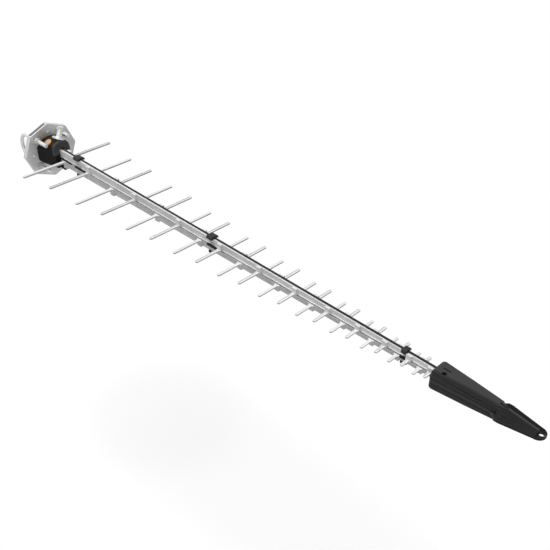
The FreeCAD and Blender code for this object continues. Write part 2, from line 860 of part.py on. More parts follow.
def bracket_section(x, end, shrink=0.0):
    """Bevelled outline of the moulded bracket, for one end of its loft."""
    points = [
        (0, size(end + "_ridge")),
        (size(end + "_brow_y"), size(end + "_brow")),
        (size(end + "_shoulder_y"), size(end + "_shoulder")),
        (size(end + "_half_width"), size(end + "_side_top")),
        (size(end + "_half_width"), -size(end + "_side_bottom")),
        (size(end + "_floor_y"), -size("bracket_floor")),
    ]
    points += [(-y, z) for y, z in reversed(points[1:])]
    middle = Vector(x, 0, 0)
    corners = []
    for y, z in points:
        away = Vector(0, y, z)
        corners.append(middle + away * (1 - shrink / away.Length))
    count = len(corners)
    outline = []
    for index, corner in enumerate(corners):
        before = (corners[index - 1] - corner).normalize()
        after = (corners[(index + 1) % count] - corner).normalize()
        outline += [corner + before * size("bracket_bevel"), corner + after * size("bracket_bevel")]
    return Part.makePolygon(outline + outline[:1])


def tilted(x, y, z, angle):
    """Frame on the roof whose Z is tilted by angle about X, away from the ridge."""
    return Placement(Vector(x, y, z), Rotation(Vector(1, 0, 0), angle))


LEVEL_SEAT = tilted(size("level_x"), -size("level_y"), size("level_z"), size("level_tilt"))
INDEX_SEAT = tilted(size("index_x"), size("index_y"), size("index_z"), -size("index_tilt"))


def seat_cylinder(seat, radius, low, high):
    shape = Part.makeCylinder(radius, high - low, Vector(0, 0, low))
    shape.Placement = seat
    return shape


def boom_room(start, end):
    """Space for both booms between two stations, with the seat clearance round it."""
    clearance = size("seat_clearance")
    half = crown_half(start) + clearance
    top = crown_height(start) + clearance
    lip = half + size("lip_width")
    lip_z = BASE_Z + size("sheet_wall") + clearance
    webs = Part.makeBox(end - start, 2 * half, 2 * top, Vector(start, -half, -top))
    lips = Part.makeBox(end - start, 2 * lip, 2 * lip_z, Vector(start, -lip, -lip_z))
    return webs.fuse(lips)


def cable_room(start, end):
    radius = size("cable_radius") + size("seat_clearance")
    frame = BOOM_BASE.inverse().multiply(on_crown(start, size("cable_radius")))
    shape = Part.makeCylinder(radius, end - start, Vector(0, 0, 0), Vector(1, 0, 0))
    shape.Placement = frame
    return shape


def bracket_housing():
    """Moulded block that holds the booms' rear ends in front of the clamp plate."""
    bevel = size("front_bevel")
    sections = [
        bracket_section(size("plate_face_x"), "rear"),
        bracket_section(BRACKET_FRONT - bevel, "front"),
        bracket_section(BRACKET_FRONT, "front", bevel),
    ]
    block = Part.makeLoft(sections, True, True)
    level_pad = seat_cylinder(LEVEL_SEAT, size("level_pad_radius"), -size("level_pad_depth"), 0)
    boss = seat_cylinder(INDEX_SEAT, size("index_boss_radius"), -size("index_boss_depth"), 0)
    nose = Part.makeBox(
        size("nose_length") + bevel,
        2 * size("nose_half_width"),
        size("nose_bottom") - size("nose_top"),
        Vector(BRACKET_FRONT - bevel, -size("nose_half_width"), -size("nose_bottom")),
    )
    edges = [
        edge for edge in nose.Edges
        if edge.BoundBox.XMin > BRACKET_FRONT + size("nose_length") - NEAR
        or (edge.BoundBox.ZMax < -size("nose_bottom") + NEAR and edge.BoundBox.YLength < NEAR)
    ]
    nose = nose.makeFillet(bevel, edges)
    room = boom_room(BOOM_START, BRACKET_FRONT + 2 * size("nose_length"))
    entry_half = crown_half(BOOM_START) + size("entry_margin")
    entry_top = crown_height(BOOM_START) + size("entry_margin")
    entry = Part.makeBox(
        size("entry_depth"),
        2 * entry_half,
        2 * entry_top,
        Vector(BRACKET_FRONT - size("entry_depth"), -entry_half, -entry_top),
    )
    rail_inside = crown_half(BOOM_START) + size("lip_width") + 2 * size("seat_clearance")
    rail_outside = rail_inside + size("tongue_rail_width")
    tongue_top = BASE_Z - size("seat_clearance")
    tongue_length = size("tongue_end_x") - BOOM_START
    tongue = Part.makeBox(
        tongue_length,
        2 * rail_outside,
        2 * tongue_top,
        Vector(BOOM_START, -rail_outside, -tongue_top),
    )
    rail = Part.makeBox(
        tongue_length,
        size("tongue_rail_width"),
        tongue_top + size("tongue_rail_top"),
        Vector(BOOM_START, -rail_outside, -tongue_top),
    )
    turned_rail = rail.copy()
    turned_rail.rotate(Vector(0, 0, 0), Vector(1, 0, 0), 180)
    wires = cable_room(CABLE_START, BRACKET_FRONT + bevel)
    stud = seat_cylinder(
        INDEX_SEAT, size("stud_radius") + size("thread_clearance"), -size("stud_depth"), 1
    )
    shank = Part.makeCylinder(
        size("socket_radius") + size("seat_clearance"),
        size("socket_shank"),
        Vector(size("socket_x"), size("socket_y"), -size("bracket_floor")),
    )
    solid = block.fuse([level_pad, boss, nose]).cut([entry, room, wires, stud, shank])
    solid = solid.fuse([tongue, rail, turned_rail])
    feature("bracket_housing", solid.removeSplitter().Solids[0], BOOM_BASE)


def level_ring():
    """Scalloped rim of the bubble level on its pad."""
    ring = body("level_ring")
    disc = sketch(ring, "LevelDisc", "XY_Plane")
    circle(disc, "0", "0", "Sizes.level_radius - Sizes.lobe_radius / 2")
    pad(ring, "LevelRim", disc, "Sizes.level_height")
    lobe = sketch(ring, "LevelLobe", "XY_Plane")
    circle(lobe, "Sizes.level_radius - Sizes.lobe_radius", "0", "Sizes.lobe_radius")
    grip = pad(ring, "LevelGrip", lobe, "Sizes.level_height")
    doc.recompute()
    around = ring.newObject("PartDesign::PolarPattern", "LevelLobes")
    around.Originals = [grip]
    around.Axis = (lobe, ["N_Axis"])
    around.Angle = 360
    around.setExpression("Occurrences", "Sizes.level_lobes")
    ring.Tip = around
    bore = sketch(ring, "LevelBore", "XY_Plane", "Sizes.level_height")
    circle(bore, "0", "0", "Sizes.level_bore_radius + Sizes.thread_clearance")
    pocket(ring, "LevelOpening", bore, "Sizes.level_height * 2")
    keep(ring, BOOM_BASE.multiply(LEVEL_SEAT))


def level_vial():
    """Domed vial in the rim."""
    vial = body("level_vial")
    profile = sketch(vial, "VialProfile", "XZ_Plane")
    radius = size("level_bore_radius")
    height = size("level_height")
    rise = size("vial_rise")
    turn = (radius ** 2 + rise ** 2) / (2 * rise)
    half = math.asin(radius / turn) / 2
    middle = Vector(turn * math.sin(half), height + rise - turn * (1 - math.cos(half)), 0)
    corners = [
        Vector(0, height + rise, 0),
        Vector(0, 0, 0),
        Vector(radius, 0, 0),
        Vector(radius, height, 0),
    ]
    for start, stop in zip(corners, corners[1:]):
        profile.addGeometry(Part.LineSegment(start, stop))
    profile.addGeometry(Part.Arc(corners[3], middle, corners[0]))
    revolve(vial, "VialTurn", profile)
    keep(vial, BOOM_BASE.multiply(LEVEL_SEAT))


def index_parts():
    """Washer, turned sleeve and headed bolt that stand on the bracket's boss."""
    wall = size("index_washer_wall")
    clearance = size("thread_clearance")
    stud = size("stud_radius")
    washer = Part.makeCylinder(size("index_washer_radius"), wall)
    washer = washer.cut(Part.makeCylinder(stud + clearance, wall))
    feature("index_washer", washer, BOOM_BASE.multiply(INDEX_SEAT))

    sleeve = body("index_sleeve")
    profile = sketch(sleeve, "SleeveProfile", "XZ_Plane")
    outer = size("sleeve_radius")
    top = wall + size("sleeve_height")
    dip = size("sleeve_groove")
    bore = stud + clearance
    closed_lines(profile, [
        (bore, wall),
        (outer, wall),
        (outer, wall + 2 * dip),
        (outer - dip, wall + 3 * dip),
        (outer - dip, top - 3 * dip),
        (outer, top - 2 * dip),
        (outer, top),
        (bore, top),
    ])
    revolve(sleeve, "SleeveTurn", profile)
    keep(sleeve, BOOM_BASE.multiply(INDEX_SEAT))

    shank = Part.makeCylinder(stud, size("stud_depth") + top - dip, Vector(0, 0, dip - size("stud_depth")))
    corner = size("index_nut_corner")
    turns = [math.radians(60 * index) for index in range(6)]
    ring = [(corner * math.cos(turn), corner * math.sin(turn)) for turn in turns]
    head = prism_between(ring, top, top + size("index_nut_height"))
    feature("index_bolt", head.fuse(shank).removeSplitter(), BOOM_BASE.multiply(INDEX_SEAT))


def angle_pointer():
    """Thin bent pointer on the plate's face, above the bracket."""
    spots = [
        Vector(0, -size("pointer_tip_y"), size("pointer_tip_z")),
        Vector(0, -size("pointer_bend_y"), size("pointer_bend_z")),
        Vector(0, -size("pointer_tail_y"), size("pointer_tail_z")),
    ]
    half = size("pointer_width") / 2
    bars = []
    for start, stop in zip(spots, spots[1:]):
        along = (stop - start).normalize()
        aside = Vector(0, -along.z, along.y) * half
        ring = [start + aside, start - aside, stop - aside, stop + aside]
        face = Part.Face(Part.makePolygon(ring + ring[:1]))
        bars.append(face.extrude(Vector(size("pointer_wall"), 0, 0)))
    elbow = Part.makeCylinder(half, size("pointer_wall"), spots[1], Vector(1, 0, 0))
    shape = bars[0].fuse([bars[1], elbow]).removeSplitter()
    seat = Placement(Vector(size("plate_face_x"), 0, 0), Rotation())
    feature("angle_pointer", shape, BOOM_BASE.multiply(seat))


def coax_socket():
    """Threaded socket under the bracket: flange, barrel, bore and centre pin."""
    socket = body("coax_socket")
    profile = sketch(socket, "SocketProfile", "XZ_Plane")
    flange = -size("socket_flange")
    low = flange - size("socket_drop")
    inner = size("socket_bore_radius")
    pin = size("socket_pin_radius")
    closed_lines(profile, [
        (0, size("socket_shank") - size("seat_clearance")),
        (size("socket_radius"), size("socket_shank") - size("seat_clearance")),
        (size("socket_radius"), 0),
        (size("socket_flange_radius"), 0),
        (size("socket_flange_radius"), flange),
        (size("socket_radius"), flange),
        (size("socket_radius"), low),
        (inner, low),
        (inner, flange),
        (pin, flange),
        (pin, low + 2 * size("socket_flange")),
        (0, low + 2 * size("socket_flange")),
    ])
    revolve(socket, "SocketTurn", profile)
    seat = Placement(Vector(size("socket_x"), size("socket_y"), -size("bracket_floor")), Rotation())
    keep(socket, BOOM_BASE.multiply(seat))


bracket_housing()
level_ring()
level_vial()
index_parts()
angle_pointer()
coax_socket()


# Feed housing: two moulded halves, joined on the middle plane

# Places of the grooves, as shares of the way down the chamfer and down the side
CHAMFER_GROOVES = (0.45, 0.9)
SIDE_GROOVES = (0.3, 0.65)
RIDGE_RUN = size("neck_run") + size("ridge_lead")


def housing_rows():
    """Stations of one half behind the nose: run from the rear end, half width, height."""
    half = size("housing_half_width")
    height = size("housing_height")
    face = size("end_face_drop")
    drop = size("end_round_drop")
    rows = [(0, half - face, height - face), (size("end_round_run"), half - drop, height - drop)]
    rows.append((size("end_round"), half, height))
    for name in ("waist", "neck"):
        rows.append((size(name + "_run"), size(name + "_half_width"), size(name + "_height")))
    return rows


def housing_at(run):
    """Half width and height of the housing at a run from its rear end."""
    rows = housing_rows()
    rows.append((size("ridge_end_run"), size("ridge_foot"), size("ridge_end_height")))
    for (start, half, height), (stop, next_half, next_height) in zip(rows, rows[1:]):
        if start <= run <= stop:
            share = (run - start) / (stop - start)
            return half + share * (next_half - half), height + share * (next_height - height)


def grooved(first, last, places, scale):
    """Points from first up to last, with V grooves at the given places between them."""
    across = last[0] - first[0]
    up = last[1] - first[1]
    length = math.hypot(across, up)
    depth = size("groove_depth") * scale
    wide = size("groove_half_width") * scale / length
    points = [first]
    for place in places:
        for shift, sink in ((-wide, 0), (0, depth), (wide, 0)):
            points.append((
                first[0] + across * (place + shift) - up / length * sink,
                first[1] + up * (place + shift) + across / length * sink,
            ))
    return points


def housing_section(run, far_side, near_side, scale=1.0):
    """Half outline above the middle plane: smooth far side, grooves down the near side."""
    top, edge, foot, base = near_side
    points = far_side + grooved(top, edge, CHAMFER_GROOVES, scale)
    points += grooved(edge, foot, SIDE_GROOVES, scale) + [foot, base]
    corners = [Vector(HOUSING_START + run, y, z) for y, z in points]
    return Part.makePolygon(corners + corners[:1])


def body_section(run, half, height):
    """Section behind the nose, with chamfered upper corners."""
    slope = size("housing_chamfer")
    far_side = [(half, 0), (half, height - slope), (half - slope, height)]
    near_side = [(slope - half, height), (-half, height - slope), (-half, size("fin_wall")), (-half, 0)]
    return housing_section(run, far_side, near_side)


def nose_section(run, height, scale):
    """Section of the nose: a ridge whose near side runs down to the fin's edge."""
    ridge = size("ridge_half_width")
    half = fin_half(run)
    wall = size("fin_wall")
    share = size("nose_edge_share")
    edge = (-ridge - share * (half - ridge), height - share * (height - wall))
    far_side = [(size("ridge_foot"), 0), (size("ridge_foot"), wall), (ridge, height)]
    near_side = [(-ridge, height), edge, (-half, wall), (-half, 0)]
    return housing_section(run, far_side, near_side, scale)


def fin_half(run):
    """Half width of the fin between its full width and its round end."""
    start = RIDGE_RUN
    stop = size("housing_length") - size("fin_tip_radius")
    share = (run - start) / (stop - start)
    return size("fin_half_width") + share * (size("fin_tip_radius") - size("fin_half_width"))


def fin():
    """Flat flange round the nose, with a round end."""
    tip = size("fin_tip_radius")
    half = size("fin_half_width")
    side = [
        (size("neck_run") - size("fin_root_lead"), size("neck_half_width")),
        (size("neck_run") + size("fin_shoulder_lead"), half),
        (RIDGE_RUN, half),
        (size("housing_length") - tip, tip),
    ]
    far_side = [Vector(HOUSING_START + run, y, 0) for run, y in side]
    near_side = [Vector(spot.x, -spot.y, 0) for spot in reversed(far_side)]
    edges = [Part.makeLine(start, stop) for start, stop in zip(far_side, far_side[1:])]
    end = Vector(HOUSING_START + size("housing_length"), 0, 0)
    edges.append(Part.Arc(far_side[-1], end, near_side[0]).toShape())
    edges += [Part.makeLine(start, stop) for start, stop in zip(near_side, near_side[1:])]
    edges.append(Part.makeLine(near_side[-1], far_side[0]))
    return Part.Face(Part.Wire(edges)).extrude(Vector(0, 0, size("fin_wall")))


def housing_half():
    """Upper half of the feed housing, before the recesses that only it has."""
    sections = [body_section(*row) for row in housing_rows()]
    sections.append(nose_section(RIDGE_RUN, size("ridge_height"), 1.0))
    end_scale = size("nose_end_grooves")
    sections.append(nose_section(size("ridge_end_run"), size("ridge_end_height"), end_scale))
    block = Part.makeLoft(sections, True, True)
    hole_x = HOUSING_START + size("housing_length") - size("hang_hole_inset")
    cuts = [boom_room(HOUSING_START - OVERCUT, BOOM_END + size("seat_clearance"))]
    cuts.append(Part.makeCylinder(
        size("hang_hole_radius"), size("housing_height"), Vector(hole_x, 0, -OVERCUT)
    ))
    for index in range(int(size("scallop_count"))):
        run = size("scallop_first") + index * size("scallop_pitch")
        middle_y = housing_at(run)[0] + size("scallop_radius") - size("scallop_depth")
        middle = Vector(HOUSING_START + run, middle_y, size("scallop_floor"))
        cuts.append(Part.makeCylinder(size("scallop_radius"), size("housing_height"), middle))
    return block.fuse(fin()).cut(cuts)


def upper_half():
    """Upper half, with the cable's entry, two slots and the screw's recess."""
    height = size("housing_height")
    cuts = [cable_room(HOUSING_START - OVERCUT, CABLE_END + size("seat_clearance"))]
    for name in ("rear", "neck"):
        run = size(name + "_slot_run")
        floor = housing_at(run + size("slot_length") / 2)[1] - size("slot_depth")
        corner = Vector(HOUSING_START + run, size(name + "_slot_y") - size("slot_width") / 2, floor)
        cuts.append(Part.makeBox(size("slot_length"), size("slot_width"), height, corner))
    spot = Vector(HOUSING_START + size("screw_run"), -size("screw_y"), 0)
    seat = height - size("screw_recess_depth") - size("screw_head_height")
    cuts.append(Part.makeCylinder(size("screw_recess_radius"), height, spot + Vector(0, 0, seat)))
    hole = size("screw_shank_radius") + size("bolt_clearance")
    cuts.append(Part.makeCylinder(hole, height, spot))
    shape = housing_half().cut(cuts)
    feature("front_housing_upper", shape.removeSplitter().Solids[0], BOOM_BASE)
    return spot, seat


def lower_half(spot, seat):
    """Lower half: the mirror image of the moulding, with the screw's blind hole."""
    shape = housing_half().mirror(Vector(0, 0, 0), Vector(0, 0, 1))
    hole = size("screw_shank_radius") + size("thread_clearance")
    depth = size("screw_length") - seat + size("seat_clearance")
    shape = shape.cut(Part.makeCylinder(hole, depth + OVERCUT, spot - Vector(0, 0, depth)))
    feature("front_housing_lower", shape.removeSplitter().Solids[0], BOOM_BASE)
    top = seat + size("screw_head_height")
    base = spot + Vector(0, 0, seat)
    head = Part.makeCylinder(size("screw_head_radius"), size("screw_head_height"), base)
    foot = spot + Vector(0, 0, seat - size("screw_length"))
    shank = Part.makeCylinder(size("screw_shank_radius"), size("screw_length"), foot)
    cross = []
    half = size("screw_shank_radius")
    width = size("cross_width")
    for turn in (0, 90):
        bar = Part.makeBox(2 * half, width, 2 * size("cross_depth"), Vector(-half, -width / 2, 0))
        centre = spot + Vector(0, 0, top - size("cross_depth"))
        bar.Placement = Placement(centre, Rotation(Vector(0, 0, 1), turn))
        cross.append(bar)
    feature("housing_screw", head.fuse(shank).cut(cross).removeSplitter(), BOOM_BASE)


lower_half(*upper_half())


# Check and export

doc.recompute()
faults = [item.Name for item in doc.Objects if {"Invalid", "Error"} & set(item.State)]
if faults:
    raise RuntimeError("objects in error: " + ", ".join(faults))
os.makedirs("parts", exist_ok=True)
for item in pieces:
    shape = item.Shape
    if shape.isNull() or not shape.isValid():
        raise RuntimeError("bad shape: " + item.Label)
    shape.exportStep("parts/" + item.Label + ".step")
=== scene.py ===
import math

import bmesh
import bpy
from mathutils import Matrix, Vector


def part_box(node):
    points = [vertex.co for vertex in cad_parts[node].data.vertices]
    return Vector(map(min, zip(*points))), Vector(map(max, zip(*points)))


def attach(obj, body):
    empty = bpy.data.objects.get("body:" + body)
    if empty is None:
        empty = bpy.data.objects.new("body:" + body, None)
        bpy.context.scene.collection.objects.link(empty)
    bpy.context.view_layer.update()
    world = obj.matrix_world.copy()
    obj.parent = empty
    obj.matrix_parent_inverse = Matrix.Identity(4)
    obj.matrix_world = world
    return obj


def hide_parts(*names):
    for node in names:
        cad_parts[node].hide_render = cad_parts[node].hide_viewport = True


# All lengths are in metres, in the CAD's own frame

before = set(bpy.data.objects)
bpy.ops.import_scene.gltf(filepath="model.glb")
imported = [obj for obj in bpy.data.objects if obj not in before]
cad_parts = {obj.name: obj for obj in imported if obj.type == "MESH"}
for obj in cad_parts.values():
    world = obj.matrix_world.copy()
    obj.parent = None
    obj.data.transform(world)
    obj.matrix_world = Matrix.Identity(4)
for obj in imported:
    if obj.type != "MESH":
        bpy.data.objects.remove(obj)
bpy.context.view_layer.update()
scene = bpy.context.scene
scene.view_settings.view_transform = "Standard"

# Camera, fitted to the dipole tips of the photograph
CAMERA_SPOT = (1.3913, -0.6962, 0.7043)
CAMERA_AZIMUTH = math.radians(45.0)
CAMERA_ELEVATION = math.radians(35.264)
CAMERA_NEAR = 0.01
CAMERA_FAR = 50.0
FOCAL_MM = 50.0
SENSOR_MM = 36.0

# Light: an even world, a broad lamp from above and a weak one from the near side
WORLD_LEVEL = 0.18
KEY_LEVEL = 2.28
FILL_LEVEL = 0.45
KEY_FROM = (-0.3, -0.08, 0.95)
FILL_FROM = (0.6, -0.75, 0.25)
LAMP_SPREAD = math.radians(30.0)
WHITE = (1.0, 1.0, 1.0, 1.0)
SEEN_RAYS = ("Is Camera Ray", "Is Glossy Ray", "Is Transmission Ray")

# Floor: paper that is darker for the light it throws back than where it is seen
FLOOR_Z = -0.65
FLOOR_HALF = 9.0
PAPER_SEEN = 0.9
PAPER_BOUNCE = 0.25
PAPER_GLOW = 0.2

# Edge wear and painted edge highlight: how well the rounded and the true surface agree where an edge starts
# to pale, and where it is palest
# Painted shade in corners: how open a corner is where it starts to darken, and where it is darkest
EDGE_TURN = (0.99, 0.85)
CREVICE_COVER = (0.92, 0.45)

# Housing top: duller on the near side of this line, as painted shade; each end is a place along X, then Y
SLOPE_START = (1.012, -0.0096)
SLOPE_STOP = (1.099, -0.0038)

# Housing flank, paler as painted light: its upper edge and the dark lines of its grooves, which are painted
# shade; each end is a place along X, then Z
FLANK_START = (1.01, 0.0101)
FLANK_STOP = (1.1, 0.0077)
GROOVE_HALF = 0.0009
GROOVE_LINES = (
    ((1.028, 0.0112), (1.099, 0.0056)),
    ((1.028, 0.0037), (1.099, 0.0016)),
    ((1.028, -0.0045), (1.099, -0.0053)),
)

# U-bolt legs: radius, height above or below the middle, distance to the side, and the tips of their threads
ROD_RADIUS = 0.004
ROD_SPREAD = 0.0288
ROD_SIDE = 0.029
THREAD_PITCH = 0.00125
THREAD_DEPTH = 0.0002
THREAD_SINK = 0.00004
THREAD_START = 0.008
THREAD_TIPS = (("near", -ROD_SIDE, 0.0725), ("far", ROD_SIDE, 0.0614))

# Ribs on the clamp plate's rim, between its top corner and the next one on the near side. The plate's middle
# lies below the frame's zero, and the margin is the share of the side that stays free at each end
PLATE_CORNER = 0.0588
PLATE_DROP = 0.0016
CORNER_TURN = math.radians(45.0)
RIB_COUNT = 16
RIB_MARGIN = 0.08
RIB_SIZE = (0.0072, 0.0012, 0.001)
RIB_MIDDLE_X = 0.0309
RIB_LIFT = 0.00005

# Cable clips: number, length along X, scale of their width, and radius of the foot. The skirt reaches below
# the crown, and the shift along X brings each clip to its place in the photograph
CLIP_SIZES = ((1, 0.0188, 1.0, 0.0082), (2, 0.0142, 0.97, 0.0068), (3, 0.0082, 0.86, 0.0058))
CLIP_SKIRT = 0.0015
CLIP_SHIFT = 0.0012
CABLE_RADIUS = 0.00155
CABLE_ROOM = 0.0002

# Dipole strips: the crown ends at this distance to the side, and the beds thin out along the boom
CROWN_LIMIT = 0.014
FIRST_DIPOLE_X = 0.0995
SECTION_RUN = 1.99
BED_RISE = 0.0009

# Level: heights are above the middle of the CAD's ring
LEVEL_TILT = math.radians(31.0)
LEVEL_RADIUS = 0.0078
LEVEL_FOOT = -0.0013
LEVEL_LOBES = 12
LOBE_DEPTH = 0.0005
RING_WIDTH = 0.0023
DOME_RADIUS = 0.0055
DOME_BASE = 0.0006
DOME_HEIGHT = 0.001
MARK_RADIUS = 0.0025
MARK_WALL = 0.00015
MARK_LIFT = DOME_BASE + DOME_HEIGHT * 0.86


def make_camera():
    """Camera of the photograph."""
    data = bpy.data.cameras.new("photo_camera")
    data.lens = FOCAL_MM
    data.sensor_width = SENSOR_MM
    data.clip_start = CAMERA_NEAR
    data.clip_end = CAMERA_FAR
    data.dof.use_dof = False
    camera = bpy.data.objects.new("photo_camera", data)
    camera.location = CAMERA_SPOT
    camera.rotation_euler = (math.pi / 2 - CAMERA_ELEVATION, 0.0, CAMERA_AZIMUTH)
    scene.collection.objects.link(camera)
    scene.camera = camera


def make_lamp(name, towards, level):
    """Broad, even lamp that shines from the given direction."""
    data = bpy.data.lights.new(name, "SUN")
    data.energy = level
    data.angle = LAMP_SPREAD
    lamp = bpy.data.objects.new(name, data)
    lamp.rotation_euler = Vector(towards).to_track_quat("Z", "Y").to_euler()
    lamp.location = Vector(towards) * 2
    scene.collection.objects.link(lamp)


def calculate(tree, operation, *values):
    """Result of a math node on sockets or plain numbers."""
    node = tree.nodes.new("ShaderNodeMath")
    node.operation = operation
    for place, value in zip(node.inputs, values):
        if isinstance(value, bpy.types.NodeSocket):
            tree.links.new(value, place)
        else:
            place.default_value = value
    return node.outputs[0]


def seen_ray(tree):
    """One where the camera, a mirror or a clear surface sees the point."""
    path = tree.nodes.new("ShaderNodeLightPath")
    result = path.outputs[SEEN_RAYS[0]]
    for name in SEEN_RAYS[1:]:
        result = calculate(tree, "MAXIMUM", result, path.outputs[name])
    return result


def background(tree, strength):
    """Plain white background of the given strength."""
    node = tree.nodes.new("ShaderNodeBackground")
    node.inputs["Color"].default_value = WHITE
    node.inputs["Strength"].default_value = strength
    return node.outputs[0]


def mix_shaders(tree, factor, first, second):
    """First shader where the factor is zero, and second where it is one."""
    node = tree.nodes.new("ShaderNodeMixShader")
    for place, source in zip(node.inputs, (factor, first, second)):
        tree.links.new(source, place)
    return node.outputs[0]


def make_world():
    """Even light for the surfaces, and plain white where the world itself is seen."""
    world = bpy.data.worlds.new("studio")
    world.use_nodes = True
    scene.world = world
    tree = world.node_tree
    tree.nodes.clear()
    output = tree.nodes.new("ShaderNodeOutputWorld")
    mixed = mix_shaders(tree, seen_ray(tree), background(tree, WORLD_LEVEL), background(tree, 1.0))
    tree.links.new(mixed, output.inputs["Surface"])


def floor_paper():
    """Pale paper that keeps the object's shadow and is clear from underneath."""
    material = bpy.data.materials.new("floor_paper")
    material.use_nodes = True
    tree = material.node_tree
    tree.nodes.clear()
    seen = seen_ray(tree)
    tone = tree.nodes.new("ShaderNodeMix")
    tone.data_type = "RGBA"
    tone.inputs["A"].default_value = grey(PAPER_BOUNCE) + (1.0,)
    tone.inputs["B"].default_value = grey(PAPER_SEEN) + (1.0,)
    tree.links.new(seen, tone.inputs["Factor"])
    paper = tree.nodes.new("ShaderNodeBsdfDiffuse")
    tree.links.new(tone.outputs["Result"], paper.inputs["Color"])
    glow = tree.nodes.new("ShaderNodeEmission")
    glow.inputs["Color"].default_value = WHITE
    tree.links.new(calculate(tree, "MULTIPLY", seen, PAPER_GLOW), glow.inputs["Strength"])
    both = tree.nodes.new("ShaderNodeAddShader")
    tree.links.new(paper.outputs[0], both.inputs[0])
    tree.links.new(glow.outputs[0], both.inputs[1])
    side = tree.nodes.new("ShaderNodeNewGeometry").outputs["Backfacing"]
    clear = tree.nodes.new("ShaderNodeBsdfTransparent").outputs[0]
    output = tree.nodes.new("ShaderNodeOutputMaterial")
    tree.links.new(mix_shaders(tree, side, both.outputs[0], clear), output.inputs["Surface"])
    return material


def make_floor():
    """Plain floor below the antenna."""
    mesh = bpy.data.meshes.new("floor")
    corners = [(x * FLOOR_HALF, y * FLOOR_HALF, FLOOR_Z) for x, y in ((-1, -1), (1, -1), (1, 1), (-1, 1))]
    mesh.from_pydata(corners, [], [(0, 1, 2, 3)])
    floor = bpy.data.objects.new("floor", mesh)
    scene.collection.objects.link(floor)
    mesh.materials.append(floor_paper())


def grey(value):
    """Colour with three equal parts."""
    return (value, value, value)


